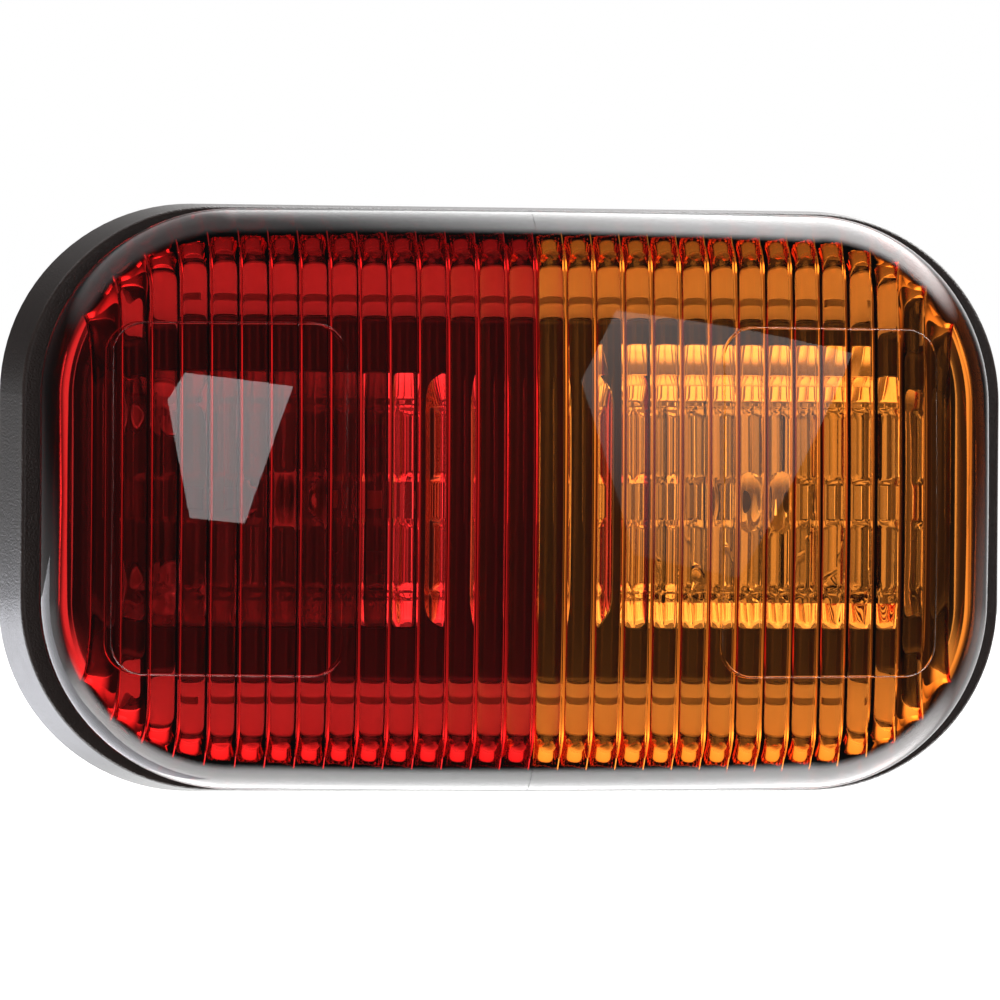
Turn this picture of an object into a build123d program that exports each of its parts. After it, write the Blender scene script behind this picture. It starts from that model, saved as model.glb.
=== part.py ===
"""Two-colour marker and tail lamp for a trailer, as separate pieces.

The lamp is a sealed module, red at one end and amber at the other, clipped into a
mounting base that two screws hold to the trailer. X runs along the lamp, Z across it,
and the lens looks along -Y. The origin is the middle of the two screw holes, on the
mounting face. Every "height" below is a distance in front of that face, in millimetres.
"""

import math
import os

from build123d import *

# Mounting base: a shallow tray with a sloping outer flank
base_length = 72.0
base_width = 42.0
base_corner = 13.6
rim_length = 69.6
rim_width = 41.0
rim_corner = 13.4
rim_height = 8.0
rim_round = 0.35
floor_thickness = 2.0
rim_wall = 1.6
screw_spacing = 44.0
screw_hole_radius = 2.25
cable_hole_radius = 5.0
seal_depth = 1.0
seal_width = 2.0
seal_margin = 4.0
stiffener_height = 1.0
stiffener_thickness = 1.0
stiffener_places = (-28.0, -14.0, 14.0, 28.0)
drain_width = 3.0
drain_height = 1.0
drain_spacing = 24.0

# Clips: a ledge inside the base hooks over the lip left below a relief in the module
clip_spacing = 40.0
clip_length = 8.0
clip_reach = 0.5
ledge_low = 5.8
ledge_high = 6.8
relief_low = 5.5
relief_depth = 0.5
relief_slack = 1.0

# Lamp module: a tray with a flange that the lens is welded to
module_gap = 0.3
module_back = 5.0
module_floor = 1.2
module_wall = 1.5
gasket_low = 8.1
flange_low = 8.7
seam_height = 9.8
groove_depth = 0.5
tongue_width = 1.0

# Lens: straight walls, a large edge round and a front that is crowned both ways
lens_length = 67.2
lens_width = 40.4
lens_corner = 13.2
lens_height = 20.0
lens_round = 5.0
crown_along = 85.0
crown_across = 120.0
lens_wall = 2.2
flute_pitch = 2.0
flute_width = 1.0
flute_depth = 0.8
flutes_per_colour = 15
flute_root = 0.1
cutter_reach = 60.0

# Inner bezel: a black plateau over the board, with a window for each optic
bezel_length = 60.0
bezel_width = 25.4
bezel_corner = 8.0
bezel_height = 11.0
bezel_wall = 1.0

# Reflector strips: white bars in the channel between the bezel and the lens's long sides
strip_length = 54.0
strip_slack = 0.1
strip_height = 9.6
strip_bevel = 0.3
strip_slot_length = 46.0
strip_slot_width = 0.5
strip_slot_depth = 1.5
strip_slot_place = 14.0

# Inner optics: clear blocks that spread the light of each diode
optic_length = 22.5
optic_width = 17.6
optic_centre = 16.6
optic_height = 11.9
optic_bevel = 0.6
optic_corner = 2.4
flange_corner = 3.5
foot_margin = 1.1
optic_flange = 0.6
optic_back = 9.4
window_slack = 0.1
pocket_radius = 2.5
pocket_depth = 0.9
groove_width = 0.7
optic_groove_depth = 0.4
optic_foot_radius = 0.8
prism_pitch = 1.4
prism_size = 0.7
prism_row = 7.3
prisms_per_row = 14

# Circuit board and what is soldered to it
board_length = 54.0
board_width = 22.6
board_corner = 6.0
board_low = 7.6
board_high = 8.6
post_radius = 1.8
post_spacing_x = 49.0
post_spacing_z = 12.0
screw_core_radius = 0.8
screw_clear_radius = 1.1
screw_head_radius = 1.7
screw_head_height = 0.7
screw_depth = 1.3
driver_slot = 0.5
led_size = 3.0
led_thickness = 0.55
dome_radius = 1.2
dome_rise = 0.45
pin_radius = 0.5
pin_pitch = 2.2
pin_low = 7.0
pin_high = 9.2
potting_high = 7.2

# Surface-mounted parts, as (length, width, thickness), and where they stand on the board
resistor_size = (3.2, 1.6, 0.55)
diode_size = (2.7, 1.6, 0.7)
diode_bevel = 0.15
capacitor_size = (2.0, 1.25, 0.7)
driver_size = (3.0, 4.0, 0.9)
driver_bevel = 0.2
chip_column = 10.5
resistor_row = 4.4
diode_column = 22.0
driver_row = 6.0

# Cable gland: a rubber sleeve moulded through the back of the module
gland_radius = 4.0
gland_neck_radius = 3.2
gland_bore_radius = 2.2
gland_back = 0.6
gland_front = 7.0
gland_blind = 6.6


def slab(length, width, corner, low, high, mode=Mode.ADD):
    """Adds or cuts a rounded rectangle between two heights of the piece being built."""
    with BuildSketch(Plane.XZ.offset(low)) as outline:
        RectangleRounded(length, width, corner)
    extrude(outline.sketch, amount=high - low, mode=mode)


def ring(length, width, corner, thickness, low, high, mode=Mode.ADD):
    """Adds or cuts a frame of even width, given by its outer outline."""
    with BuildSketch(Plane.XZ.offset(low)) as outline:
        RectangleRounded(length, width, corner)
        inner_corner = corner - thickness
        RectangleRounded(length - 2 * thickness, width - 2 * thickness, inner_corner, mode=Mode.SUBTRACT)
    extrude(outline.sketch, amount=high - low, mode=mode)


def disc(radius, low, high, places=((0.0, 0.0),), mode=Mode.ADD):
    """Adds or cuts round bosses or holes at places given as (x, z)."""
    with BuildSketch(Plane.XZ.offset(low)) as outline:
        with Locations(*places):
            Circle(radius)
    extrude(outline.sketch, amount=high - low, mode=mode)


def block(size_x, size_z, low, high, places=((0.0, 0.0),), mode=Mode.ADD):
    """Adds or cuts square-cornered blocks at places given as (x, z)."""
    with BuildSketch(Plane.XZ.offset(low)) as outline:
        with Locations(*places):
            Rectangle(size_x, size_z)
    extrude(outline.sketch, amount=high - low, mode=mode)


def lens_form(inset):
    """The solid inside the lens's surface, moved inwards by inset on every side."""
    along = crown_along - inset
    across = crown_across - inset
    front = lens_height - inset
    reach = lens_width
    edge_drop = across - math.sqrt(across**2 - reach**2)
    axis_place = along - front
    with BuildPart() as form:
        slab(lens_length - 2 * inset, lens_width - 2 * inset, lens_corner - inset, seam_height, lens_height)
        with BuildSketch(Plane.YZ):
            with BuildLine():
                Polyline(
                    (edge_drop - front, -reach),
                    (axis_place, -reach),
                    (axis_place, reach),
                    (edge_drop - front, reach),
                )
                ThreePointArc((edge_drop - front, reach), (-front, 0), (edge_drop - front, -reach))
            make_face()
        revolve(axis=Axis((0, axis_place, 0), (0, 0, 1)), mode=Mode.INTERSECT)
        crown = form.faces().sort_by(Axis.Y)[0]
        fillet(crown.edges(), lens_round - inset)
    return form.part


def lens_half():
    """One colour of the lens: half a hollow dome, with flutes on its inside and a weld tongue."""
    outer = lens_form(0.0)
    inner = lens_form(lens_wall)
    flute_outer = lens_form(lens_wall - flute_root)
    flute_inner = lens_form(lens_wall + flute_depth)
    flute_places = [(-flute_pitch * (step + 0.5), 0.0) for step in range(flutes_per_colour)]
    with BuildPart() as flutes:
        add(flute_outer)
        add(flute_inner, mode=Mode.SUBTRACT)
        block(flute_width, cutter_reach, 0.0, cutter_reach, flute_places, Mode.INTERSECT)
    with BuildPart() as shell:
        add(outer)
        add(inner, mode=Mode.SUBTRACT)
        tongue_inset = (lens_wall - tongue_width) / 2
        ring(
            lens_length - 2 * tongue_inset,
            lens_width - 2 * tongue_inset,
            lens_corner - tongue_inset,
            tongue_width,
            seam_height - groove_depth,
            seam_height,
        )
        add(flutes.part)
        half_place = [(-cutter_reach / 2, 0.0)]
        block(cutter_reach, cutter_reach, 0.0, cutter_reach, half_place, Mode.INTERSECT)
    return shell.part


def optic(centre_x):
    """One clear optic: a bevelled block with a centre groove, prism rows, a flange and feet."""
    with BuildPart() as piece:
        with BuildSketch(Plane.XZ.offset(optic_back + optic_flange)):
            with Locations((centre_x, 0.0)):
                RectangleRounded(optic_length, optic_width, optic_corner)
        extrude(amount=optic_height - optic_back - optic_flange)
        front_face = piece.faces().sort_by(Axis.Y)[0]
        chamfer(front_face.edges(), optic_bevel)
        with BuildSketch(Plane.XZ.offset(optic_back)):
            with Locations((centre_x, 0.0)):
                flange_sides = (optic_length + 2 * optic_flange, optic_width + 2 * optic_flange)
                RectangleRounded(*flange_sides, flange_corner)
        extrude(amount=optic_flange)
        groove_low = optic_height - optic_groove_depth
        block(optic_length, groove_width, groove_low, optic_height, [(centre_x, 0.0)], Mode.SUBTRACT)
        half_row = prism_pitch * (prisms_per_row - 1) / 2
        for row in (-prism_row, prism_row):
            places = [(centre_x + prism_pitch * i - half_row, row) for i in range(prisms_per_row)]
            with BuildSketch(Plane.XZ.offset(optic_height - optic_groove_depth)):
                with Locations(*places):
                    Rectangle(prism_size, prism_size, rotation=45)
            extrude(amount=optic_groove_depth, mode=Mode.SUBTRACT)
        disc(pocket_radius, optic_back, optic_back + pocket_depth, [(centre_x, 0.0)], Mode.SUBTRACT)
        foot_x = optic_length / 2 - foot_margin
        foot_z = optic_width / 2 - foot_margin
        feet = [(centre_x + sx * foot_x, sz * foot_z) for sx in (-1, 1) for sz in (-1, 1)]
        disc(optic_foot_radius, board_high, optic_back, feet)
    return piece.part


def led_package(centre_x):
    """The square ceramic body of one diode."""
    with BuildPart() as piece:
        block(led_size, led_size, board_high, board_high + led_thickness, [(centre_x, 0.0)])
        fillet(piece.edges().filter_by(Axis.Y), led_size / 10)
    return piece.part


def led_dome(centre_x):
    """The clear silicone dome over one diode: a cap of a sphere."""
    base = board_high + led_thickness
    sphere_radius = (dome_radius**2 + dome_rise**2) / (2 * dome_rise)
    with BuildPart() as piece:
        with Locations((centre_x, -(base + dome_rise - sphere_radius), 0.0)):
            Sphere(sphere_radius)
        block(4 * dome_radius, 4 * dome_radius, base, base + dome_rise, [(centre_x, 0.0)], Mode.INTERSECT)
    return piece.part


def chips(size_x, size_z, thickness, places, cap=0.0):
    """A group of equal surface-mounted parts, with bevelled front edges where cap is given."""
    with BuildPart() as piece:
        block(size_x, size_z, board_high, board_high + thickness, places)
        if cap:
            chamfer(piece.faces().filter_by(Axis.Y).group_by(Axis.Y)[0].edges(), cap)
    return piece.part


# Places shared by several pieces
screw_places = [(-screw_spacing / 2, 0.0), (screw_spacing / 2, 0.0)]
clip_places_x = (-clip_spacing / 2, clip_spacing / 2)
cavity_length = rim_length - 2 * rim_wall
cavity_width = rim_width - 2 * rim_wall
cavity_corner = rim_corner - rim_wall
tray_length = cavity_length - 2 * module_gap
tray_width = cavity_width - 2 * module_gap
tray_corner = cavity_corner - module_gap
post_places = [
    (sx * post_spacing_x / 2, sz * post_spacing_z / 2) for sx in (-1, 1) for sz in (-1, 1)
]
pin_places = [(-pin_pitch, 0.0), (0.0, 0.0), (pin_pitch, 0.0)]
tray_front = module_back + module_floor

# The mounting base
seal_length = base_length - 2 * seal_margin
seal_height = base_width - 2 * seal_margin
seal_corner = base_corner - seal_margin
with BuildPart() as mounting_base:
    with BuildSketch(Plane.XZ):
        RectangleRounded(base_length, base_width, base_corner)
    with BuildSketch(Plane.XZ.offset(rim_height)):
        RectangleRounded(rim_length, rim_width, rim_corner)
    loft()
    fillet(mounting_base.faces().sort_by(Axis.Y)[0].edges(), rim_round)
    slab(cavity_length, cavity_width, cavity_corner, floor_thickness, rim_height, Mode.SUBTRACT)
    stiffener_length = cavity_width - 2 * cavity_corner
    stiffener_top = floor_thickness + stiffener_height
    stiffeners = [(x, 0.0) for x in stiffener_places]
    block(stiffener_thickness, stiffener_length, floor_thickness, stiffener_top, stiffeners)
    for side in (-1, 1):
        ledge_z = side * (cavity_width - clip_reach) / 2
        ledges = [(x, ledge_z) for x in clip_places_x]
        block(clip_length, clip_reach, ledge_low, ledge_high, ledges)
    disc(screw_hole_radius, 0.0, floor_thickness, screw_places, Mode.SUBTRACT)
    disc(cable_hole_radius, 0.0, floor_thickness, mode=Mode.SUBTRACT)
    ring(seal_length, seal_height, seal_corner, seal_width, 0.0, seal_depth, Mode.SUBTRACT)
    drain_low = floor_thickness
    drain_places = [(-drain_spacing / 2, -base_width / 2), (drain_spacing / 2, -base_width / 2)]
    block(drain_width, 4 * rim_wall, drain_low, drain_low + drain_height, drain_places, Mode.SUBTRACT)
mounting_base.part.label = "mounting_base"

# A rubber seal pressed flat in a groove of the mounting face
with BuildPart() as base_seal:
    ring(seal_length, seal_height, seal_corner, seal_width, 0.0, seal_depth)
base_seal.part.label = "base_seal"

# The back half of the sealed module
with BuildPart() as lamp_housing:
    slab(tray_length, tray_width, tray_corner, module_back, flange_low)
    slab(lens_length, lens_width, lens_corner, flange_low, seam_height)
    inner_length = tray_length - 2 * module_wall
    inner_width = tray_width - 2 * module_wall
    inner_corner = tray_corner - module_wall
    slab(inner_length, inner_width, inner_corner, tray_front, seam_height, Mode.SUBTRACT)
    groove_inset = (lens_wall - tongue_width) / 2
    ring(
        lens_length - 2 * groove_inset,
        lens_width - 2 * groove_inset,
        lens_corner - groove_inset,
        tongue_width,
        seam_height - groove_depth,
        seam_height,
        Mode.SUBTRACT,
    )
    for side in (-1, 1):
        relief_z = side * (tray_width - relief_depth) / 2
        reliefs = [(x, relief_z) for x in clip_places_x]
        block(clip_length + relief_slack, relief_depth, relief_low, flange_low, reliefs, Mode.SUBTRACT)
    disc(post_radius, tray_front, board_low, post_places)
    disc(screw_core_radius, board_low - screw_depth, board_low, post_places, Mode.SUBTRACT)
    disc(gland_neck_radius, module_back, tray_front, mode=Mode.SUBTRACT)
lamp_housing.part.label = "lamp_housing"

# The soft gasket behind the flange, which meets the rim of the base
with BuildPart() as rim_gasket:
    slab(lens_length, lens_width, lens_corner, gasket_low, flange_low)
    slab(tray_length, tray_width, tray_corner, gasket_low, flange_low, Mode.SUBTRACT)
rim_gasket.part.label = "rim_gasket"

# The two-shot lens
lens_red = lens_half()
lens_red.label = "lens_red"
with BuildPart() as lens_amber:
    mirror(lens_red, about=Plane.YZ)
lens_amber.part.label = "lens_amber"

# The inner bezel, which stands on the tray's floor and covers the board
optic_places = [(-optic_centre, 0.0), (optic_centre, 0.0)]
with BuildPart() as inner_bezel:
    slab(bezel_length, bezel_width, bezel_corner, tray_front, bezel_height)
    fillet(inner_bezel.faces().sort_by(Axis.Y)[0].edges(), bezel_wall / 2)
    skirt_length = bezel_length - 2 * bezel_wall
    skirt_width = bezel_width - 2 * bezel_wall
    skirt_corner = bezel_corner - bezel_wall
    plateau_back = bezel_height - bezel_wall
    slab(skirt_length, skirt_width, skirt_corner, tray_front, plateau_back, Mode.SUBTRACT)
    with BuildSketch(Plane.XZ.offset(plateau_back)):
        with Locations(*optic_places):
            RectangleRounded(
                optic_length + 2 * window_slack,
                optic_width + 2 * window_slack,
                optic_corner,
            )
    extrude(amount=bezel_wall, mode=Mode.SUBTRACT)
inner_bezel.part.label = "inner_bezel"

# The white strips on both sides of the bezel, each with a slot along it
with BuildPart() as reflector_strips:
    strips_outer = (inner_length - 2 * strip_slack, inner_width - 2 * strip_slack)
    slab(*strips_outer, inner_corner - strip_slack, tray_front, strip_height)
    chamfer(reflector_strips.faces().sort_by(Axis.Y)[0].edges(), strip_bevel)
    strips_inner = (bezel_length + 2 * strip_slack, bezel_width + 2 * strip_slack)
    slab(*strips_inner, bezel_corner + strip_slack, tray_front, strip_height, Mode.SUBTRACT)
    block(strip_length, cutter_reach, tray_front, strip_height, mode=Mode.INTERSECT)
    slot_places = [(0.0, -strip_slot_place), (0.0, strip_slot_place)]
    slot_low = strip_height - strip_slot_depth
    block(strip_slot_length, strip_slot_width, slot_low, strip_height, slot_places, Mode.SUBTRACT)
reflector_strips.part.label = "reflector_strips"

# The clear optics in the bezel's windows
optic_red = optic(-optic_centre)
optic_red.label = "optic_red"
optic_amber = optic(optic_centre)
optic_amber.label = "optic_amber"

# The board, with holes for its screws and for the three pins
with BuildPart() as circuit_board:
    slab(board_length, board_width, board_corner, board_low, board_high)
    disc(screw_clear_radius, board_low, board_high, post_places, Mode.SUBTRACT)
    disc(pin_radius, board_low, board_high, pin_places, Mode.SUBTRACT)
circuit_board.part.label = "circuit_board"

# Pan-headed screws that hold the board to the tray's posts
with BuildPart() as board_screws:
    disc(screw_core_radius, board_low - screw_depth, board_high, post_places)
    disc(screw_head_radius, board_high, board_high + screw_head_height, post_places)
    head_top = board_high + screw_head_height
    head_rims = board_screws.faces().filter_by(Axis.Y).group_by(Axis.Y)[0].edges()
    fillet(head_rims, screw_head_height / 3)
    for length, width in ((2 * screw_core_radius, driver_slot), (driver_slot, 2 * screw_core_radius)):
        block(length, width, head_top - driver_slot, head_top, post_places, Mode.SUBTRACT)
board_screws.part.label = "board_screws"

# The diodes, one behind each optic
led_red_package = led_package(-optic_centre)
led_red_package.label = "led_red_package"
led_red_dome = led_dome(-optic_centre)
led_red_dome.label = "led_red_dome"
led_amber_package = led_package(optic_centre)
led_amber_package.label = "led_amber_package"
led_amber_dome = led_dome(optic_centre)
led_amber_dome.label = "led_amber_dome"

# The parts that feed the diodes from a 12 or 24 volt supply, all under the plateau
resistor_places = [(sx * chip_column, sz * resistor_row) for sx in (-1, 1) for sz in (-1, 1)]
resistors = chips(*resistor_size, resistor_places)
resistors.label = "resistors"
diode_places = [(-diode_column, 0.0), (diode_column, 0.0)]
rectifier_diodes = chips(*diode_size, diode_places, diode_bevel)
rectifier_diodes.label = "rectifier_diodes"
capacitor_places = [(-chip_column, 0.0), (chip_column, 0.0)]
filter_capacitors = chips(*capacitor_size, capacitor_places)
filter_capacitors.label = "filter_capacitors"
driver_chip = chips(*driver_size, [(0.0, driver_row)], driver_bevel)
driver_chip.label = "driver_chip"

# The pins that the cable's cores are soldered to
with BuildPart() as solder_pins:
    disc(pin_radius, pin_low, pin_high, pin_places)
    fillet(solder_pins.edges().group_by(Axis.Y)[0], pin_radius / 2)
solder_pins.part.label = "solder_pins"

# The rubber gland that the cable enters by
with BuildPart() as cable_gland:
    disc(gland_radius, gland_back, module_back)
    disc(gland_neck_radius, module_back, tray_front)
    disc(gland_radius, tray_front, gland_front)
    fillet(cable_gland.edges().group_by(Axis.Y)[-1], gland_back)
    disc(gland_bore_radius, gland_back, gland_blind, mode=Mode.SUBTRACT)
cable_gland.part.label = "cable_gland"

# The resin poured behind the board, which seals the pins and the gland
with BuildPart() as potting_resin:
    slab(skirt_length, skirt_width, skirt_corner, tray_front, potting_high)
    disc(post_radius, tray_front, potting_high, post_places, Mode.SUBTRACT)
    disc(gland_radius, tray_front, gland_front, mode=Mode.SUBTRACT)
    disc(pin_radius, pin_low, potting_high, pin_places, Mode.SUBTRACT)
potting_resin.part.label = "potting_resin"

pieces = [
    mounting_base.part,
    base_seal.part,
    lamp_housing.part,
    rim_gasket.part,
    lens_red,
    lens_amber.part,
    inner_bezel.part,
    reflector_strips.part,
    optic_red,
    optic_amber,
    circuit_board.part,
    board_screws.part,
    led_red_package,
    led_red_dome,
    led_amber_package,
    led_amber_dome,
    resistors,
    rectifier_diodes,
    filter_capacitors,
    driver_chip,
    solder_pins.part,
    cable_gland.part,
    potting_resin.part,
]

os.makedirs("parts", exist_ok=True)
for piece in pieces:
    export_step(piece, f"parts/{piece.label}.step")
    print(piece.label, "volume", round(piece.volume, 1))
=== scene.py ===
# %% [markdown]
# A two-colour marker lamp for a trailer, red at one end and amber at the other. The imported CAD
# model is the fixed frame, and this lesson dresses it: real materials for every piece, and new
# meshes for the lens and the inner optics, which make most of what the eye sees.

# %% Load the frame
import math

import bpy
import numpy as np
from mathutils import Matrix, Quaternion, Vector


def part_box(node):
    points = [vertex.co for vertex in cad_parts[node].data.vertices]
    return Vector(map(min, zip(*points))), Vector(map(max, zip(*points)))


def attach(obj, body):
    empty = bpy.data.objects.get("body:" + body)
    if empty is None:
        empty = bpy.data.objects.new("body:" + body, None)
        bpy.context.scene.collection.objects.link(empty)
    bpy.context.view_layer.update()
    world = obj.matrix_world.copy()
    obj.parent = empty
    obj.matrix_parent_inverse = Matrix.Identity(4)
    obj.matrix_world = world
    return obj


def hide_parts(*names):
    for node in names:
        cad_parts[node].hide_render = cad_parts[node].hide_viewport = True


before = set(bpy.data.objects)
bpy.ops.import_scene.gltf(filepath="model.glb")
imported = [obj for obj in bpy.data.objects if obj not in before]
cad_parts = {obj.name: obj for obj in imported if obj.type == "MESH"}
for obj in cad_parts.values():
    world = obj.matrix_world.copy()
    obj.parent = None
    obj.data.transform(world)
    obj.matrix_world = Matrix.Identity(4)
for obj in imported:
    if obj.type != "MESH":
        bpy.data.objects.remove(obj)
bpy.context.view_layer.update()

MM = 0.001

# %% [markdown]
# The lamp stands on its long edge, with the lens looking along -Y and the mounting face at Y = 0.
# Every place below is worked out from the frame's own boxes, so the main levels come first. A
# height is a distance in front of the mounting face.

# %% Read the main levels from the frame
base_low, base_high = (Vector(corner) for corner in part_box("mounting_base"))
lens_low, lens_high = (Vector(corner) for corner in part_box("lens_red"))
housing_low = Vector(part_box("lamp_housing")[0])
base_length = base_high.x - base_low.x
seam_height = -housing_low.y
lens_height = -lens_low.y
print("seam and front, mm:", round(seam_height / MM, 3), round(lens_height / MM, 3))

# %% [markdown]
# The lamp is seen from close by and a little to one side, so its far end comes out slightly smaller
# than the near one. The camera is placed by its distance, two angles and a slight roll, and its
# focal length follows from how much of the view's width the base should fill.

# %% Place the camera
view_distance = 0.42
view_azimuth = -7.5
view_elevation = 0.4
view_roll = 0.4
sensor_width = 36.0
view_share = 1.0
aim = Vector((-0.03 * MM, 0.0, -0.05 * MM))


def looking(azimuth, elevation):
    """The direction in which a viewer looks. Azimuth 0 looks along +Y. Angles in degrees."""
    turn, rise = math.radians(azimuth), math.radians(elevation)
    return Vector((-math.sin(turn) * math.cos(rise), math.cos(turn) * math.cos(rise), -math.sin(rise)))


view = looking(view_azimuth, view_elevation)
camera = bpy.data.objects.new("camera", bpy.data.cameras.new("camera"))
bpy.context.scene.collection.objects.link(camera)
camera.location = aim - view * view_distance
roll = Quaternion((0, 0, 1), math.radians(view_roll))
camera.rotation_euler = (view.to_track_quat("-Z", "Y") @ roll).to_euler()
camera.data.sensor_width = sensor_width
camera.data.lens = sensor_width * view_distance / (base_length * view_share)
camera.data.clip_start = 0.01
bpy.context.scene.camera = camera
print("camera at", [round(value, 3) for value in camera.location], "lens", round(camera.data.lens, 1))

# %% [markdown]
# Every material is made of nodes. One function turns a colour as a painter reads it, an sRGB hex
# value, into the linear numbers that the renderer wants, and one adds a node with its settings
# and links.

# %% Helpers for every material
WHITE = (1.0, 1.0, 1.0, 1.0)


def linear(hex_colour):
    """An sRGB hex colour, such as "c0392b", as linear red, green, blue and alpha."""
    values = [int(hex_colour[i : i + 2], 16) / 255 for i in (0, 2, 4)]
    return [v / 12.92 if v <= 0.04045 else ((v + 0.055) / 1.055) ** 2.4 for v in values] + [1.0]


def add_node(tree, kind, settings=None, inputs=None):
    """Adds a node. An input is a plain value, or (node, output) to link from."""
    node = tree.nodes.new(kind)
    for name, value in (settings or {}).items():
        setattr(node, name, value)
    for name, value in (inputs or {}).items():
        if isinstance(value, tuple) and isinstance(value[0], bpy.types.Node):
            tree.links.new(value[0].outputs[value[1]], node.inputs[name])
        else:
            node.inputs[name].default_value = value
    return node


def new_material(name):
    """An empty material, with its output node and its object coordinates."""
    material = bpy.data.materials.new(name)
    material.use_nodes = True
    tree = material.node_tree
    tree.nodes.clear()
    output = add_node(tree, "ShaderNodeOutputMaterial")
    place = (add_node(tree, "ShaderNodeTexCoord"), "Object")
    return material, tree, output, place


def give(piece, *materials):
    """Puts materials on an object's slots."""
    piece.data.materials.clear()
    for material in materials:
        piece.data.materials.append(material)


# %% [markdown]
# Moulded plastic, rubber, fired ceramic and plated metal all show the same three things at
# different scales: a slow drift between two close shades, a roughness that drifts with it, and a
# fine relief. So one function makes them all from noise, and each call states the real grain.

# %% Solid, opaque surfaces
drift_per_grain = 12


def solid_surface(name, shades, roughness, grain, relief, metallic=0.0, ior=1.5):
    """An opaque surface. roughness is (least, most), and relief is (strength, depth)."""
    material, tree, output, place = new_material(name)
    drift_scale = 1 / (drift_per_grain * grain)
    drift = add_node(tree, "ShaderNodeTexNoise", None, {"Vector": place, "Scale": drift_scale, "Detail": 4.0})
    fine = add_node(tree, "ShaderNodeTexNoise", None, {"Vector": place, "Scale": 1 / grain, "Detail": 2.0})
    shade = add_node(
        tree,
        "ShaderNodeMix",
        {"data_type": "RGBA"},
        {0: (drift, "Fac"), 6: linear(shades[0]), 7: linear(shades[1])},
    )
    rough = add_node(
        tree,
        "ShaderNodeMapRange",
        None,
        {"Value": (drift, "Fac"), "To Min": roughness[0], "To Max": roughness[1]},
    )
    bump = add_node(
        tree,
        "ShaderNodeBump",
        None,
        {"Height": (fine, "Fac"), "Strength": relief[0], "Distance": relief[1]},
    )
    shader = add_node(
        tree,
        "ShaderNodeBsdfPrincipled",
        None,
        {
            "Base Color": (shade, 2),
            "Roughness": (rough, "Result"),
            "Metallic": metallic,
            "Normal": (bump, "Normal"),
        },
    )
    if not metallic:
        shader.inputs["IOR"].default_value = ior
    tree.links.new(shader.outputs[0], output.inputs["Surface"])
    return material


# %% [markdown]
# The base is ABS from a sand-blasted mould: a warm black whose fine pits break each reflection
# into sparkle. The module and the bezel come from polished and satin moulds, so they reflect more
# clearly, and the seals are matt rubber.

# %% The black pieces
# A warm black with a fine grain, which catches a glancing light
blasted_abs = solid_surface(
    "sandblasted black ABS", ("1f1614", "2a1f1c"), (0.26, 0.34), 0.16 * MM, (1.0, 0.05 * MM)
)
# A deep black with soft but clear reflections
polished_pc = solid_surface(
    "polished black polycarbonate", ("090909", "0e0e0e"), (0.15, 0.22), 0.6 * MM, (0.1, 0.02 * MM)
)
# The black ground that the optics stand out from
satin_pc = solid_surface(
    "satin black polycarbonate", ("0c0b0b", "131212"), (0.3, 0.4), 0.3 * MM, (0.15, 0.02 * MM)
)
# A dull, slightly uneven black line at the joints
nitrile = solid_surface(
    "moulded nitrile rubber", ("131313", "1b1b1a"), (0.6, 0.75), 0.4 * MM, (0.3, 0.05 * MM), ior=1.52
)
give(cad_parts["mounting_base"], blasted_abs)
give(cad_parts["lamp_housing"], polished_pc)
give(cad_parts["inner_bezel"], satin_pc)
for name in ("base_seal", "rim_gasket", "cable_gland"):
    give(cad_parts[name], nitrile)

# %% [markdown]
# The channels beside the bezel hold white strips. They are what glows red and amber along the
# long sides when daylight enters by the lens's edges, so they are nearly as white as plastic can
# be, and satin, which keeps their glow even.

# %% The white reflector strips
white_abs = solid_surface(
    "satin white ABS", ("f4f3ee", "fbfaf6"), (0.35, 0.45), 0.4 * MM, (0.15, 0.02 * MM)
)
give(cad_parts["reflector_strips"], white_abs)

# %% [markdown]
# Behind the bezel sit the board and its parts. They show through the clear optics only as broken
# colour, but each still has the finish of the real thing: solder mask, fired ceramic, moulded
# epoxy, bright plating and poured resin.

# %% Materials of the board and its parts
# A dark, slightly glossy green
solder_mask = solid_surface(
    "glass laminate with solder mask", ("0f3b22", "14482b"), (0.3, 0.4), 0.5 * MM, (0.2, 0.02 * MM)
)
# A soft grey metal gleam on the screws
zinc_plate = solid_surface(
    "zinc plated steel", ("b9b9bc", "a5a6aa"), (0.22, 0.38), 0.2 * MM, (0.2, 0.01 * MM), 1.0
)
# The matt white of a diode's package
alumina = solid_surface(
    "fired alumina ceramic", ("f1efe8", "e6e2d6"), (0.4, 0.5), 0.1 * MM, (0.2, 0.01 * MM), ior=1.76
)
# The shiny black of a resistor's top
black_glaze = solid_surface(
    "glazed resistor body", ("17181a", "222326"), (0.25, 0.35), 0.1 * MM, (0.2, 0.01 * MM)
)
# The matt black of a moulded chip
chip_epoxy = solid_surface(
    "moulded chip epoxy", ("1c1c1d", "262627"), (0.5, 0.6), 0.08 * MM, (0.3, 0.01 * MM)
)
# The tan of a ceramic capacitor
titanate = solid_surface(
    "fired titanate ceramic", ("a8835c", "96724d"), (0.35, 0.45), 0.1 * MM, (0.2, 0.01 * MM)
)
# Bright, faintly yellow pins
tinned_brass = solid_surface(
    "tinned brass", ("d9c38f", "c8b07a"), (0.23, 0.33), 0.2 * MM, (0.2, 0.01 * MM), 1.0
)
# A wet-looking black pool with a gentle swell
potting = solid_surface(
    "poured potting epoxy", ("0e0e10", "161618"), (0.1, 0.2), 2.0 * MM, (0.2, 0.05 * MM), ior=1.55
)

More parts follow.
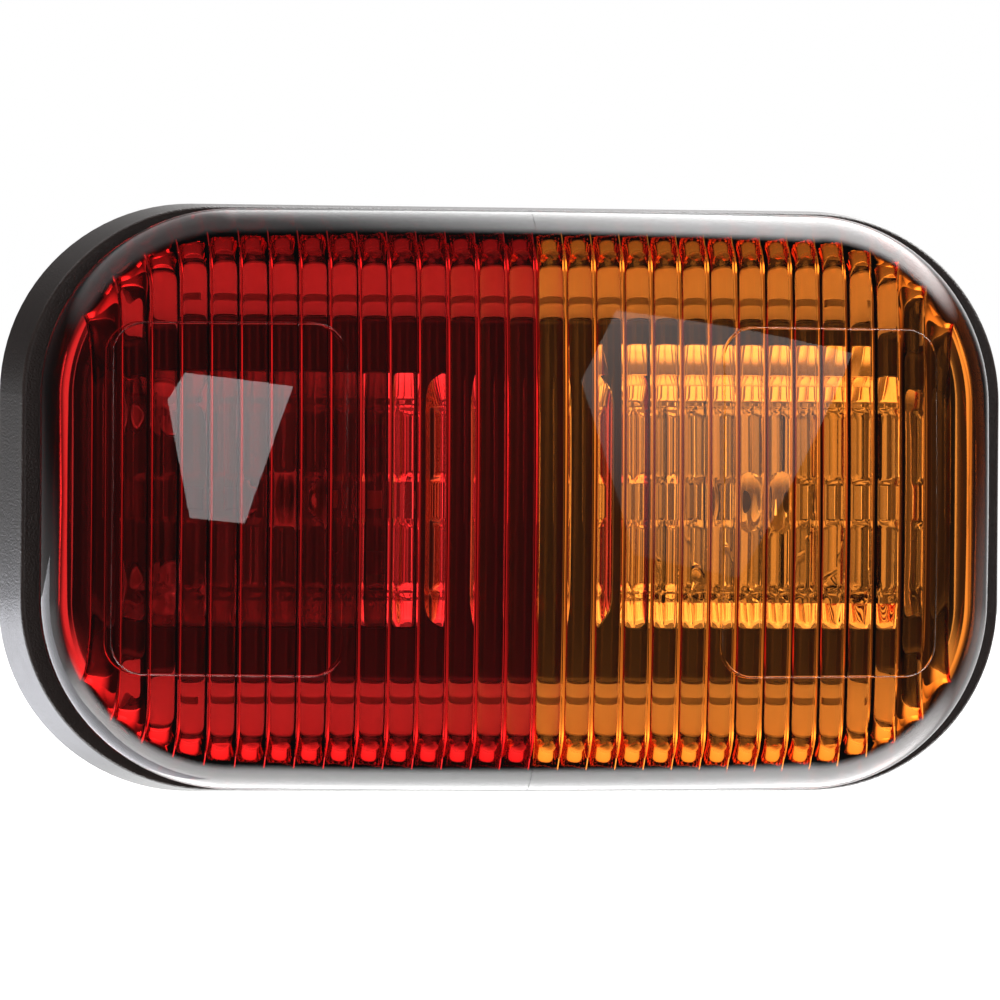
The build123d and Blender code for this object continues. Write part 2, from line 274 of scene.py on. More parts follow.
# %% Dress the board and its parts
board_finishes = {
    "circuit_board": solder_mask,
    "board_screws": zinc_plate,
    "led_red_package": alumina,
    "led_amber_package": alumina,
    "resistors": black_glaze,
    "rectifier_diodes": chip_epoxy,
    "driver_chip": chip_epoxy,
    "filter_capacitors": titanate,
    "solder_pins": tinned_brass,
    "potting_resin": potting,
}
for name, material in board_finishes.items():
    give(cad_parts[name], material)
print("pieces dressed behind the bezel:", len(board_finishes))

# %% [markdown]
# Acrylic and silicone are clear all through, so their colour comes from depth: a surface of plain
# glass-like plastic round a volume that absorbs light. The colour given is white light's colour
# after one wall of the plastic, and the absorption is worked out from that and the wall.
#
# The front of the lens also carries two witness lines, fine rounded rectangles left by the edges
# of mould inserts. They are far too shallow to model, so they are a bump on the front only.

# %% The witness lines
witness_centre = 21.0 * MM
witness_half = Vector((7.9 * MM, 0.0, 12.1 * MM))
witness_corner = 2.2 * MM
witness_width = 0.07 * MM
witness_height = 0.04 * MM
facing_front = -0.5


def witness_bump(tree, place):
    """A bump along the outline of a rounded rectangle on each half of the lens's front."""
    axes = add_node(tree, "ShaderNodeSeparateXYZ", None, {"Vector": place})
    facing = add_node(tree, "ShaderNodeNewGeometry")
    facing = add_node(tree, "ShaderNodeSeparateXYZ", None, {"Vector": (facing, "True Normal")})
    # What each sum is called, what it does, and what it takes: sums before it, or plain numbers
    sums = (
        ("off x", "ABSOLUTE", "x"),
        ("off x", "SUBTRACT", "off x", witness_centre),
        ("off x", "ABSOLUTE", "off x"),
        ("off x", "SUBTRACT", "off x", witness_half.x - witness_corner),
        ("off z", "ABSOLUTE", "z"),
        ("off z", "SUBTRACT", "off z", witness_half.z - witness_corner),
        ("out x", "MAXIMUM", "off x", 0.0),
        ("out z", "MAXIMUM", "off z", 0.0),
        ("square", "MULTIPLY", "out x", "out x"),
        ("square", "MULTIPLY_ADD", "out z", "out z", "square"),
        ("outside", "SQRT", "square"),
        ("inside", "MAXIMUM", "off x", "off z"),
        ("inside", "MINIMUM", "inside", 0.0),
        ("away", "ADD", "outside", "inside"),
        ("away", "SUBTRACT", "away", witness_corner),
        ("away", "ABSOLUTE", "away"),
        ("front", "LESS_THAN", "facing", facing_front),
    )
    found = {"x": (axes, "X"), "z": (axes, "Z"), "facing": (facing, "Y")}
    for name, operation, *values in sums:
        inputs = {number: found.get(value, value) for number, value in enumerate(values)}
        found[name] = (add_node(tree, "ShaderNodeMath", {"operation": operation}, inputs), 0)
    ridge = add_node(
        tree,
        "ShaderNodeMapRange",
        {"interpolation_type": "SMOOTHSTEP"},
        {"Value": found["away"], "From Min": 0.0, "From Max": witness_width, "To Min": 1.0, "To Max": 0.0},
    )
    factors = {0: (ridge, "Result"), 1: found["front"]}
    height = add_node(tree, "ShaderNodeMath", {"operation": "MULTIPLY"}, factors)
    bump = {"Height": (height, 0), "Strength": 1.0, "Distance": witness_height}
    return add_node(tree, "ShaderNodeBump", None, bump)


# %% Clear plastics
# The density is a little over the strongest loss, so that no channel of the tint reaches zero
density_margin = 1.02


def clear_plastic(name, seen_through, wall, roughness, ior, witness=False):
    """Plastic coloured through. seen_through is the colour of white light behind one wall of it."""
    material, tree, output, place = new_material(name)
    losses = [-math.log(value) / wall for value in linear(seen_through)[:3]]
    density = density_margin * max(losses)
    tint = [1 - loss / density for loss in losses] + [1.0]
    skin = add_node(
        tree,
        "ShaderNodeBsdfPrincipled",
        None,
        {"Base Color": WHITE, "Roughness": roughness, "IOR": ior, "Transmission Weight": 1.0},
    )
    if witness:
        bump = witness_bump(tree, place)
        tree.links.new(bump.outputs["Normal"], skin.inputs["Normal"])
    body = add_node(tree, "ShaderNodeVolumeAbsorption", None, {"Color": tint, "Density": density})
    tree.links.new(skin.outputs[0], output.inputs["Surface"])
    tree.links.new(body.outputs[0], output.inputs["Volume"])
    return material


# %% Mix the clear plastics
lens_wall = 2.2 * MM
# A faint yellow drop over each diode
silicone = clear_plastic("clear LED silicone", "fff6c8", 1.2 * MM, 0.02, 1.41)
# Water clear, so that only its edges and ribs are seen
clear_acrylic = clear_plastic("clear moulded acrylic", "fafcfb", 3.0 * MM, 0.0, 1.49)
# The two colours of the lens, which deepen where the wall is seen at a slant
red_acrylic = clear_plastic("red moulded acrylic", "ea7878", lens_wall, 0.0, 1.49, witness=True)
amber_acrylic = clear_plastic("amber moulded acrylic", "fac888", lens_wall, 0.0, 1.49, witness=True)
# A mirror, slightly soft, which makes the plated faces flash
aluminised = solid_surface(
    "vacuum-plated aluminium", ("e6e6e8", "f0f0f1"), (0.02, 0.06), 0.3 * MM, (0.05, 0.01 * MM), 1.0
)
for name in ("led_red_dome", "led_amber_dome"):
    give(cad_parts[name], silicone)

# %% [markdown]
# The lens is a two-shot moulding: a dome with straight sides, a large edge round and a front that
# is crowned both ways. Its outer surface is given by how far a point is from it: the straight
# wall, the crown, and a rolled edge that is tangent to both. Sliding a fine grid onto that surface
# gives a smoother skin than a box with bevels, because the reflections cross the edge unbroken.

# %% The lens's outer form
edge_round = 5.0 * MM
plan_corner = 13.2 * MM
crown_along = 85.0 * MM
crown_across = 120.0 * MM
lens_end = -lens_low.x
lens_side = lens_high.z
lens_foot = seam_height + 0.02 * MM


def lens_distance(x, height, z):
    """How far a point is outside the moulded surface, or less than nothing inside it."""
    beside_x = np.abs(x) - (lens_end - plan_corner)
    beside_z = np.abs(z) - (lens_side - plan_corner)
    out_x = np.maximum(beside_x, 0)
    out_z = np.maximum(beside_z, 0)
    reach = np.hypot(out_x, out_z)
    wall = reach + np.minimum(np.maximum(beside_x, beside_z), 0) - plan_corner
    in_corner = reach > 0
    safe = np.where(in_corner, reach, 1)
    wall_x = np.where(in_corner, out_x / safe, beside_x > beside_z) * np.sign(x)
    wall_z = np.where(in_corner, out_z / safe, beside_x <= beside_z) * np.sign(z)
    radius = np.hypot(x, height - (lens_height - crown_along))
    across = np.hypot(radius - (crown_along - crown_across), z)
    crown = across - crown_across
    lean = (radius - (crown_along - crown_across)) / across
    meet = wall_x * x / radius * lean + wall_z * z / across
    a = wall + edge_round
    b = crown + edge_round
    spread = np.maximum(1 - meet * meet, 1e-9)
    rolled = np.sqrt(np.maximum(a * a + b * b - 2 * a * b * meet, 0)) / np.sqrt(spread)
    in_roll = (a > meet * b) & (b > meet * a)
    return np.where(in_roll, rolled, np.maximum(a, b)) - edge_round


def solve(function, start, most, steps=46):
    """Where an increasing function crosses zero between start and most, for a whole array."""
    low, high = start + 0 * most, start * 0 + most
    for _ in range(steps):
        middle = (low + high) / 2
        inside = function(middle) < 0
        low = np.where(inside, middle, low)
        high = np.where(inside, high, middle)
    return (low + high) / 2


# %% [markdown]
# Inside, the lens carries upright flutes, ribs 2 mm apart with a narrow flat gutter between them.
# A rib is part of a circle, 52 degrees steep at its sides, where the plastic turns light back and
# looks dark. So each is a strong little lens with a dark outline, which repeats what lies behind
# it. Points are crowded towards the rib's steep sides, so the grid's columns are spaced by the
# sine of an angle.

# %% The flutes
flute_pitch = 2.0 * MM
flute_half_width = 0.96 * MM
flute_slope = math.radians(52.0)
flute_radius = flute_half_width / math.sin(flute_slope)
fluted_length = 30.0 * MM
rib_steps = 12
end_columns = 36
rows = 120


def flute_height(x):
    """How far a rib stands out of the inner wall at a distance x from the split."""
    across = ((np.abs(x) / flute_pitch) % 1.0 - 0.5) * flute_pitch
    across = np.minimum(np.abs(across), flute_half_width)
    rib = np.sqrt(flute_radius**2 - across**2) - flute_radius * math.cos(flute_slope)
    return np.where(np.abs(x) < fluted_length, rib, 0)


def column_places(end):
    """Places of the grid's columns, from the split to the end of the lens."""
    round_rib = flute_half_width * np.sin(np.linspace(-0.5, 0.5, rib_steps + 1) * math.pi)
    edge = flute_half_width * 1.01
    one_pitch = np.concatenate([[-flute_pitch / 2, -edge], round_rib, [edge]]) + flute_pitch / 2
    pitches = [one_pitch + step * flute_pitch for step in range(round(fluted_length / flute_pitch))]
    share = np.sin(np.linspace(0, 0.5, end_columns + 1) * math.pi)
    return np.concatenate(pitches + [fluted_length + (end - fluted_length) * share])


# %% [markdown]
# Each half of the lens is two such grids, the outer skin and the inner skin with the flutes,
# bridged all round their rims. That leaves one closed wall, which the light enters and leaves
# through real surfaces. A hair of space stays between the two colours and above the weld seam,
# because faces that coincide confuse the light.

# %% One skin of the lens
split_gap = 0.015 * MM
farthest_reach = 1.6


def lens_skin(name, side, depth):
    """A fine grid slid onto the surface that lies depth(x) under the lens's outer form."""
    bpy.ops.object.select_all(action="DESELECT")
    column_count = len(column_places(lens_end))
    bpy.ops.mesh.primitive_grid_add(x_subdivisions=column_count - 1, y_subdivisions=rows, size=1.0)
    piece = bpy.context.object
    piece.name = name
    flat = np.empty(len(piece.data.vertices) * 3)
    piece.data.vertices.foreach_get("co", flat)
    flat = flat.reshape(-1, 3)
    end = solve(
        lambda x: lens_distance(x, np.full(1, lens_foot), np.zeros(1)) + depth(x),
        np.zeros(1),
        np.full(1, lens_end),
    )[0]
    columns = np.rint((flat[:, 0] + 0.5) * (column_count - 1)).astype(int)
    x = column_places(end)[columns]
    deep = depth(np.minimum(x, end))
    angle = flat[:, 1] * math.pi
    none = 0 * x
    most_width = solve(lambda z: lens_distance(x, lens_foot, z) + deep, none, none + lens_side)
    most_rise = solve(
        lambda h: lens_distance(x, lens_foot + h, none) + deep, none, none + lens_height - lens_foot
    )

    def on_ray(reach):
        """Height and z at a share of the way along each point's ray."""
        return lens_foot + reach * most_rise * np.cos(angle), reach * most_width * np.sin(angle)

    reach = solve(lambda share: lens_distance(x, *on_ray(share)) + deep, none, none + farthest_reach)
    height, z = on_ray(reach)
    shaped = np.stack([side * (x + split_gap), -height, z], axis=1)
    piece.data.vertices.foreach_set("co", shaped.ravel())
    piece.data.update()
    return piece


# %% Helpers for finished meshes
weld_distance = 0.0004 * MM


def select_only(*pieces):
    """Selects these objects alone and makes the first one active."""
    bpy.ops.object.select_all(action="DESELECT")
    for piece in pieces:
        piece.select_set(True)
    bpy.context.view_layer.objects.active = pieces[0]


def tidy_mesh(piece, smooth_angle):
    """Merges doubles, turns every face outwards and smooths all but the sharp edges."""
    select_only(piece)
    bpy.ops.object.mode_set(mode="EDIT")
    bpy.ops.mesh.select_all(action="SELECT")
    bpy.ops.mesh.remove_doubles(threshold=weld_distance)
    bpy.ops.mesh.normals_make_consistent(inside=False)
    bpy.ops.object.mode_set(mode="OBJECT")
    bpy.ops.object.shade_smooth_by_angle(angle=math.radians(smooth_angle))


def stand_for(piece, node, *materials):
    """Gives a finished piece its materials, and lets it stand for a CAD node of the module."""
    indices = [face.material_index for face in piece.data.polygons]
    give(piece, *materials)
    piece.data.polygons.foreach_set("material_index", indices)
    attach(piece, "module")
    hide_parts(node)
    piece.data.calc_loop_triangles()
    print(piece.name, "triangles", len(piece.data.loop_triangles))


# %% Build the lens
def lens_half(name, side, material, node):
    """One colour of the lens, from its two skins."""
    outer = lens_skin(name, side, lambda x: 0 * x)
    inner = lens_skin(name + "_inner", side, lambda x: lens_wall + flute_height(x))
    select_only(outer, inner)
    bpy.ops.object.join()
    bpy.ops.object.mode_set(mode="EDIT")
    bpy.ops.mesh.select_mode(type="EDGE")
    bpy.ops.mesh.select_all(action="DESELECT")
    bpy.ops.mesh.select_non_manifold()
    bpy.ops.mesh.bridge_edge_loops()
    bpy.ops.object.mode_set(mode="OBJECT")
    tidy_mesh(outer, 40.0)
    stand_for(outer, node, material)


lens_half("red_lens", -1, red_acrylic, "lens_red")
lens_half("amber_lens", 1, amber_acrylic, "lens_amber")

# %% [markdown]
# Behind each colour sits a clear optic, a rounded block that spreads the light of one diode. Its
# face carries two fields of half-round ribs whose ends are cut at a slant, which is why they end
# in little arches, a plain band with a groove between them, a small dome over the diode, and
# sloping ledges all round. The face is a grid raised by those forms, and its rim is then extruded
# back into the window of the bezel, spread into a flange and closed round the diode's window.
# The inner end of each optic is plated with aluminium over its first two ribs, which makes it
# flash. The amber one is also plated on its long ledges, sides and back, so that every rib throws
# back the light it gets.

# %% The face of an optic
red_low, red_high = (Vector(corner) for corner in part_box("optic_red"))
flange = 0.6 * MM
optic_half = Vector(((red_high.x - red_low.x) / 2 - flange, 0.0, (red_high.z - red_low.z) / 2 - flange))
optic_corner = 2.4 * MM
rim_level = 11.1 * MM
face_level = 12.1 * MM
ledge_width = 1.8 * MM
rib_pitch = 1.9 * MM
rib_half_width = 0.88 * MM
rib_rise = 0.5 * MM
ribs_per_field = 11
field_edge = 1.3 * MM
upper_field = 6.5 * MM
lower_field = -6.3 * MM
groove_half = 0.35 * MM
groove_depth = 0.3 * MM
dome_radius = 2.2 * MM
dome_rise = 0.9 * MM
optic_columns = 154
optic_rows = 110


def slanted_rib(x, z, low, high):
    """A row of half-round ribs between two levels, each end cut at 45 degrees."""
    half_row = ribs_per_field * rib_pitch / 2
    across = (((x + half_row) / rib_pitch) % 1.0 - 0.5) * rib_pitch / rib_half_width
    rib = rib_rise * np.sqrt(np.clip(1 - across**2, 0, 1))
    rib = np.where(np.abs(x) < half_row, rib, 0)
    return np.clip(np.minimum(rib, np.minimum(z - low, high - z)), 0, None)


def from_rim(x, z):
    """How far a point lies inside the optic's rounded outline."""
    out_x = np.maximum(np.abs(x) - (optic_half.x - optic_corner), 0)
    out_z = np.maximum(np.abs(z) - (optic_half.z - optic_corner), 0)
    flat = np.minimum(optic_half.x - np.abs(x), optic_half.z - np.abs(z))
    return np.where((out_x > 0) & (out_z > 0), optic_corner - np.hypot(out_x, out_z), flat)


def optic_face(x, z):
    """The height of the optic's face over a point, measured from the optic's middle."""
    share = np.clip(from_rim(x, z) / ledge_width, 0, 1)
    height = rim_level + (face_level - rim_level) * share
    ribs = slanted_rib(x, z, field_edge, upper_field) + slanted_rib(x, z, lower_field, -field_edge)
    ledge_ribs = 0.6 * slanted_rib(x, z, -optic_half.z, lower_field)
    groove = np.where(np.abs(z) < groove_half, -groove_depth, 0)
    away = np.hypot(x, z) / dome_radius
    dome = dome_rise * np.sqrt(np.clip(1 - away**2, 0, 1))
    return height + np.maximum(ribs + ledge_ribs + groove, dome)


# %% Raise an optic's face
optic_back = 9.66 * MM
flange_front = 9.98 * MM
window_radius = 0.6 * MM
plated_end = 4.2 * MM


def raised_face(name, centre_x):
    """The face of an optic, raised from a fine grid."""
    bpy.ops.object.select_all(action="DESELECT")
    bpy.ops.mesh.primitive_grid_add(x_subdivisions=optic_columns, y_subdivisions=optic_rows, size=2.0)
    piece = bpy.context.object
    piece.name = name
    flat = np.empty(len(piece.data.vertices) * 3)
    piece.data.vertices.foreach_get("co", flat)
    flat = flat.reshape(-1, 3)
    x = flat[:, 0] * optic_half.x
    bend = np.maximum(np.abs(x) - (optic_half.x - optic_corner), 0)
    edge = optic_half.z - optic_corner + np.sqrt(np.maximum(optic_corner**2 - bend**2, 0))
    z = flat[:, 1] * edge
    shaped = np.stack([x + centre_x, -optic_face(x, z), z], axis=1)
    piece.data.vertices.foreach_set("co", shaped.ravel())
    piece.data.update()
    return piece


# %% Close an optic behind
def close_behind(centre_x):
    """Extrudes the active face's rim back, spreads it into a flange and closes it round a window."""
    bpy.ops.object.mode_set(mode="EDIT")
    bpy.ops.mesh.select_mode(type="EDGE")
    bpy.ops.mesh.select_all(action="DESELECT")
    bpy.ops.mesh.select_non_manifold()
    widen_x = 1 + flange / optic_half.x
    widen_z = 1 + flange / optic_half.z
    middle = (centre_x, 0.0, 0.0)
    for back, spread in ((rim_level - flange_front, False), (0.0, True), (flange_front - optic_back, False)):
        bpy.ops.mesh.extrude_region_move(TRANSFORM_OT_translate={"value": (0.0, back, 0.0)})
        if spread:
            bpy.ops.transform.resize(value=(widen_x, 1.0, widen_z), center_override=middle)
    window_place = (centre_x, -optic_back, 0)
    bpy.ops.mesh.primitive_circle_add(
        vertices=48, radius=window_radius, location=window_place, rotation=(math.pi / 2, 0, 0)
    )
    bpy.ops.mesh.select_non_manifold()
    bpy.ops.mesh.bridge_edge_loops()
    bpy.ops.mesh.select_all(action="DESELECT")
    bpy.ops.mesh.select_non_manifold()
    bpy.ops.mesh.edge_face_add()
    bpy.ops.object.mode_set(mode="OBJECT")


# %% Plate an optic
def plate(piece, centre_x, fully_plated):
    """Plates the inner end of an optic's face, or also its ledges, sides and back."""
    centres = np.empty(len(piece.data.polygons) * 3)
    areas = np.empty(len(piece.data.polygons))
    piece.data.polygons.foreach_get("center", centres)
    piece.data.polygons.foreach_get("area", areas)
    centres = centres.reshape(-1, 3)
    x, z = centres[:, 0] - centre_x, centres[:, 2]
    in_face = -centres[:, 1] > rim_level
    from_inner_end = optic_half.x + np.sign(centre_x) * x
    ledge = (from_rim(x, z) < ledge_width) & (from_inner_end < 2 * optic_half.x - ledge_width)
    # The window is one large face, nearly a whole circle
    in_window = (areas > 3 * window_radius**2) & (np.hypot(x, z) < window_radius)
    all_over = np.where(in_face, ledge, ~in_window) & fully_plated
    inner_end = in_face & (from_inner_end < plated_end)
    give(piece, clear_acrylic, aluminised)
    piece.data.polygons.foreach_set("material_index", (all_over | inner_end).astype(int))


# %% Build the optics
foot_radius = 0.8 * MM
foot_inset = 1.1 * MM
foot_sink = 0.1 * MM
board_face = -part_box("circuit_board")[0][1]


def optic_foot(centre_x, side_x, side_z):
    """One of the four feet that an optic stands on the board with."""
    depth = optic_back - board_face + foot_sink
    place = (
        centre_x + side_x * (optic_half.x - foot_inset),
        -(board_face + depth / 2),
        side_z * (optic_half.z - foot_inset),
    )
    bpy.ops.object.select_all(action="DESELECT")
    bpy.ops.mesh.primitive_cylinder_add(
        vertices=24, radius=foot_radius, depth=depth, location=place, rotation=(math.pi / 2, 0, 0)
    )
    bpy.ops.object.transform_apply(location=True, rotation=True, scale=True)
    give(bpy.context.object, clear_acrylic)
    return bpy.context.object


def optic(name, centre_x, node, fully_plated):
    """One whole optic, standing for its CAD node."""
    piece = raised_face(name, centre_x)
    close_behind(centre_x)
    plate(piece, centre_x, fully_plated)
    feet = [optic_foot(centre_x, side_x, side_z) for side_x in (-1, 1) for side_z in (-1, 1)]
    select_only(piece, *feet)
    bpy.ops.object.join()
    tidy_mesh(piece, 35.0)
    stand_for(piece, node, clear_acrylic, aluminised)


optic("red_optic", (red_low.x + red_high.x) / 2, "optic_red", False)
optic("amber_optic", -(red_low.x + red_high.x) / 2, "optic_amber", True)

# %% [markdown]
# Above the amber optic the bezel carries a plated bevel, which catches the light from above as a
# row of bright patches, one to each flute. It is a wedge on the bezel's face with rounded edges.

# %% Build the plated bevel
bevel_low = Vector((5.6 * MM, 0.0, 8.75 * MM))
bevel_high = Vector((25.0 * MM, 0.0, 11.0 * MM))
bevel_front = 12.0 * MM
bevel_slant = 0.9 * MM
bevel_lip = 0.15 * MM
bevel_edge = 0.12 * MM
bezel_front = -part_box("inner_bezel")[0][1]

bpy.ops.object.select_all(action="DESELECT")
bpy.ops.mesh.primitive_cube_add(size=1.0)
bevel = bpy.context.object
bevel.name = "plated_bevel"
for vertex in bevel.data.vertices:
    at_front, at_top, at_right = vertex.co.y < 0, vertex.co.z > 0, vertex.co.x > 0
    slant = bevel_slant if at_front or at_top else 0.0
    lift = bevel_lip if at_front else 0.0
    vertex.co.x = bevel_high.x - slant if at_right else bevel_low.x + slant
    vertex.co.z = bevel_high.z if at_top else bevel_low.z
    vertex.co.y = -(bevel_front if at_front and not at_top else bezel_front + lift)
bpy.ops.object.mode_set(mode="EDIT")
bpy.ops.mesh.select_all(action="SELECT")
bpy.ops.mesh.bevel(offset=bevel_edge, segments=3)
bpy.ops.object.mode_set(mode="OBJECT")
tidy_mesh(bevel, 35.0)
give(bevel, aluminised)
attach(bevel, "module")
print("plated bevel, faces:", len(bevel.data.polygons))

# %% [markdown]
# The lamp is lit by a white room, which isn't a plain one: it has one light for what is seen
# directly, one for matt surfaces, one for reflections and one for light that goes through the
# lens, each tuned on its own. In another light the lens looks different.
#
# What a polished lens shows is mostly its surroundings, so they
# are drawn as the lens would meet them: white behind, except at the left and the far right, a
# bright ground below, and a bright ceiling above that fades to the left.
#
# Light that enters the lens comes from the same room but is given its own strength, because it
# has two walls of coloured plastic to cross. It comes from above and below, a little from the
# sides, and most of all by two windows, above and below the viewer, that light the plated faces.

# %% The room
world = bpy.data.worlds.new("studio")
bpy.context.scene.world = world
world.use_nodes = True
room = world.node_tree
room.nodes.clear()

# %% Fades across the room
compass = add_node(room, "ShaderNodeTexCoord")
compass = add_node(room, "ShaderNodeSeparateXYZ", None, {"Vector": (compass, "Generated")})
sideways = add_node(room, "ShaderNodeMath", {"operation": "ABSOLUTE"}, {0: (compass, "X")})
axes = {"X": (compass, "X"), "Y": (compass, "Y"), "Z": (compass, "Z"), "sideways": (sideways, 0)}
# Each fade has an axis, the places on it where the fade starts and ends, and its strength at both.
# A place is a part of a direction of length 1, so 1 is straight along the axis.
fades = {
    "behind": ("Y", -0.05, 0.35, 0.0, 1.0),
    "not left": ("X", -0.1, 0.3, 0.0, 1.0),
    "not right": ("X", 0.8, 0.45, 0.0, 1.0),
    "low down": ("Z", 0.03, -0.15, 0.0, 1.0),
    "level or behind": ("Y", -0.2, 0.1, 0.0, 1.0),
    "ground": ("Z", -0.3, -0.6, 0.0, 5.0),
    "ceiling": ("Z", 0.35, 0.55, 0.0, 6.0),
    "less to the left": ("X", -0.1, 0.3, 0.1, 1.0),
    "over": ("Z", 0.15, 0.6, 0.0, 0.2),
    "under": ("Z", -0.1, -0.5, 0.0, 1.3),
    "beside": ("sideways", 0.5, 0.75, 0.0, 0.7),
    "well in front": ("Y", -0.38, -0.5, 0.0, 1.0),
    "upper window": ("Z", 0.5, 0.7, 0.0, 2.1),
    "lower window": ("Z", -0.5, -0.7, 0.0, 1.4),
    "in front": ("Y", -0.2, -0.45, 0.0, 1.0),
    "not beside": ("sideways", 0.6, 0.3, 0.0, 1.0),
    "least entering": ("Y", -0.05, 0.35, 0.22, 0.04),
}
lights = {}
for name, (axis, start, end, low, high) in fades.items():
    ends = {"From Min": start, "From Max": end, "To Min": low, "To Max": high}
    smooth = {"interpolation_type": "SMOOTHSTEP"}
    lights[name] = (add_node(room, "ShaderNodeMapRange", smooth, {"Value": axes[axis], **ends}), "Result")
print("fades in the room:", len(fades))

# %% Put the fades together
# How strong each whole light is, what a reflection never falls under, and the two plain lights
reflected_strength = 1.2
least_reflected = 0.06
entering_strength = 1.5
matt_strength = 1.15
seen_strength = 1.0
# What each sum is called, what it does, and what it takes: fades, sums before it, or plain numbers
sums = (
    ("middle", "MULTIPLY", "not left", "not right"),
    ("backdrop", "MAXIMUM", "middle", "low down"),
    ("backdrop", "MULTIPLY", "behind", "backdrop"),
    ("ground", "MULTIPLY", "ground", "level or behind"),
    ("ceiling", "MULTIPLY", "ceiling", "level or behind"),
    ("ceiling", "MULTIPLY", "ceiling", "less to the left"),
    ("reflected", "MAXIMUM", "ground", "ceiling"),
    ("reflected", "MAXIMUM", "backdrop", "reflected"),
    ("reflected", "MULTIPLY_ADD", "reflected", reflected_strength, least_reflected),
    ("beside", "MULTIPLY", "beside", "well in front"),
    ("windows", "ADD", "upper window", "lower window"),
    ("in front", "MULTIPLY", "in front", "not beside"),
    ("windows", "MULTIPLY", "windows", "in front"),
    ("entering", "MAXIMUM", "over", "under"),
    ("entering", "MAXIMUM", "entering", "beside"),
    ("entering", "ADD", "entering", "windows"),
    ("entering", "MULTIPLY_ADD", "entering", entering_strength, "least entering"),
)
for name, operation, *values in sums:
    inputs = {number: lights.get(value, value) for number, value in enumerate(values)}
    lights[name] = (add_node(room, "ShaderNodeMath", {"operation": operation}, inputs), 0)

# %% One light for each kind of ray
kind = add_node(room, "ShaderNodeLightPath")
light = add_node(room, "ShaderNodeBackground", None, {"Color": WHITE, "Strength": lights["reflected"]})
rays = {
    "Is Transmission Ray": lights["entering"],
    "Is Diffuse Ray": matt_strength,
    "Is Camera Ray": seen_strength,
}
for ray, strength in rays.items():
    chosen = add_node(room, "ShaderNodeBackground", None, {"Color": WHITE, "Strength": strength})
    light = add_node(room, "ShaderNodeMixShader", None, {0: (kind, ray), 1: (light, 0), 2: (chosen, 0)})
add_node(room, "ShaderNodeOutputWorld", None, {"Surface": (light, 0)})
print("nodes in the room:", len(room.nodes))

# %% [markdown]
# A pale paper floor lies some way below the lamp, so that only a faint shadow falls on it. The
# lamp doesn't reflect it, since the room above already draws the ground.

# %% The paper floor
floor_drop = 40 * MM
floor_size = 4.0
paper = solid_surface("pale paper", ("fbfbfa", "ffffff"), (0.75, 0.85), 1.0 * MM, (0.05, 0.02 * MM))
bpy.ops.object.select_all(action="DESELECT")
bpy.ops.mesh.primitive_plane_add(size=floor_size, location=(0, 0, base_low.z - floor_drop))
floor = bpy.context.object
floor.name = "floor"
floor.visible_glossy = False
floor.visible_transmission = False
give(floor, paper)

# %% [markdown]
# Two soft boxes stand in front of the lamp. They aren't seen directly and light no matt surface,
# but show as reflections in the lens, a small bright one at the red end and a larger faint one at
# the amber end. Each has one corner cut off.

# %% The soft boxes
card_distance = 0.6


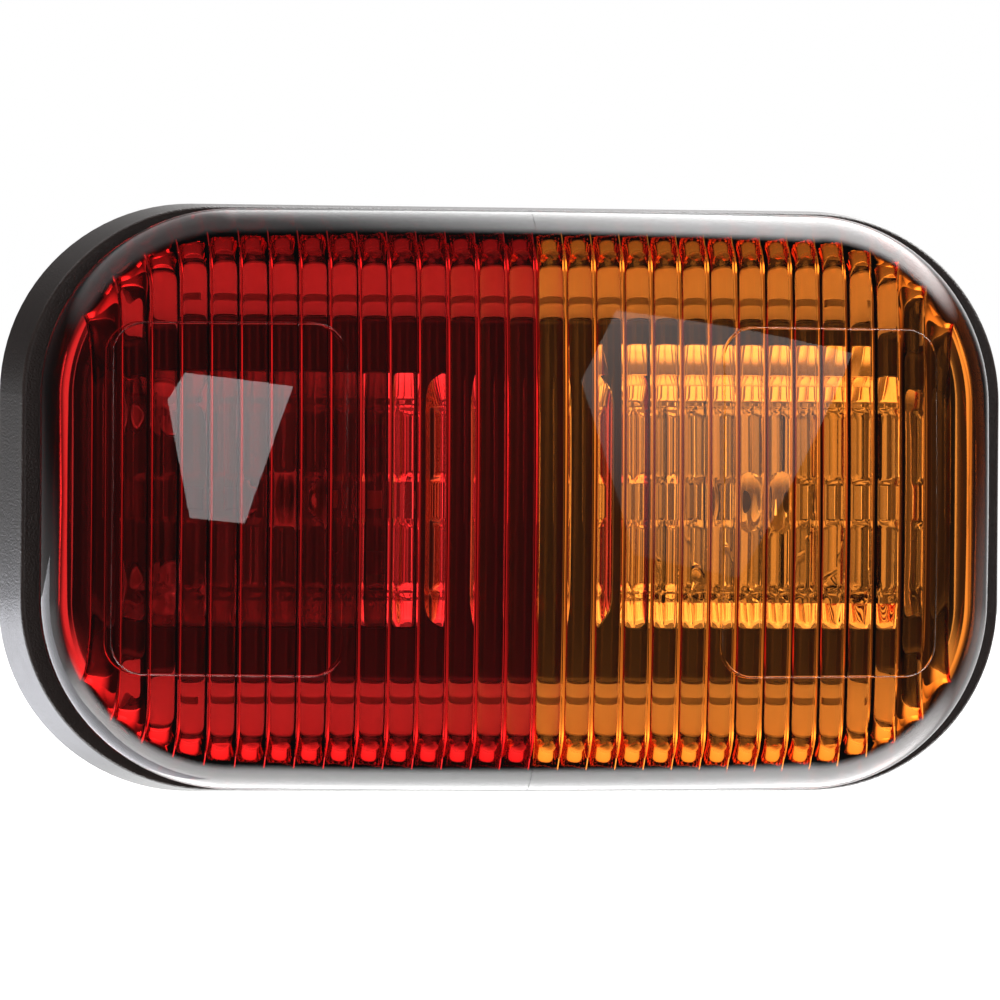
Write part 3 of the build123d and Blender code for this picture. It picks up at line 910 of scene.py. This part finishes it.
def card(name, azimuth, elevation, turn, width, height, narrow, corner, strength, fade_to):
    """A glowing card. Sizes are degrees as the lamp sees them, and narrow is its foot's share of
    the width. It fades downwards to a share of its strength."""
    bpy.ops.object.select_all(action="DESELECT")
    bpy.ops.mesh.primitive_plane_add(size=1.0)
    piece = bpy.context.object
    piece.name = name
    degree = card_distance * math.radians(1.0)
    for vertex in piece.data.vertices:
        taper = narrow if vertex.co.y < 0 else 1.0
        vertex.co.x *= width * degree * taper
        vertex.co.y *= height * degree
    bpy.ops.object.mode_set(mode="EDIT")
    bpy.ops.mesh.select_mode(type="VERT")
    bpy.ops.mesh.select_all(action="DESELECT")
    bpy.ops.object.mode_set(mode="OBJECT")
    folded = max(piece.data.vertices, key=lambda vertex: vertex.co.y + vertex.co.x)
    folded.select = True
    bpy.ops.object.mode_set(mode="EDIT")
    bpy.ops.mesh.bevel(offset=corner * degree, segments=1, affect="VERTICES")
    bpy.ops.object.mode_set(mode="OBJECT")
    direction = looking(azimuth, elevation)
    piece.location = -direction * card_distance
    in_plane = Quaternion((0, 0, 1), math.radians(turn))
    piece.rotation_euler = (direction.to_track_quat("Z", "Y") @ in_plane).to_euler()
    material, tree, output, place = new_material(name + " light")
    axes = add_node(tree, "ShaderNodeSeparateXYZ", None, {"Vector": place})
    half = height * degree / 2
    level = {"From Min": -half, "From Max": half, "To Min": strength * fade_to, "To Max": strength}
    level = add_node(tree, "ShaderNodeMapRange", None, {"Value": (axes, "Y"), **level})
    shine = add_node(tree, "ShaderNodeEmission", None, {"Color": WHITE, "Strength": (level, "Result")})
    tree.links.new(shine.outputs[0], output.inputs["Surface"])
    give(piece, material)
    piece.visible_camera = False
    piece.visible_diffuse = False
    piece.visible_shadow = False


card(
    "left_card",
    azimuth=-25.8,
    elevation=3.5,
    turn=4.0,
    width=14.0,
    height=11.2,
    narrow=0.42,
    corner=2.4,
    strength=4.6,
    fade_to=0.9,
)
card(
    "right_card",
    azimuth=25.0,
    elevation=4.0,
    turn=8.0,
    width=34.0,
    height=19.0,
    narrow=0.35,
    corner=7.0,
    strength=1.8,
    fade_to=0.2,
)

# %% [markdown]
# A white board stands behind the lamp at its lower left. Only the grained flank meets it, in a
# glancing reflection that ends halfway up the lamp, where the board ends.

# %% The low board
board_place = (-110 * MM, 70 * MM, -85 * MM)
board_size = (140 * MM, 150 * MM, 1.0)
board_colour = (0.93, 0.94, 1.0, 1.0)
board_strength = 2.6
bpy.ops.object.select_all(action="DESELECT")
bpy.ops.mesh.primitive_plane_add(size=1.0, location=board_place, rotation=(math.pi / 2, 0, 0))
board = bpy.context.object
board.name = "low_board"
board.scale = board_size
shine, tree, output, place = new_material("low board light")
cool_white = {"Color": board_colour, "Strength": board_strength}
emission = add_node(tree, "ShaderNodeEmission", None, cool_white)
tree.links.new(emission.outputs[0], output.inputs["Surface"])
give(board, shine)
board.visible_camera = False
board.visible_diffuse = False
board.visible_transmission = False
board.visible_shadow = False

# %% [markdown]
# Colours are shown just as the lights and materials give them. A film-like curve would grey the
# red and the amber.

# %% Show colours as they are
bpy.context.scene.view_settings.view_transform = "Standard"
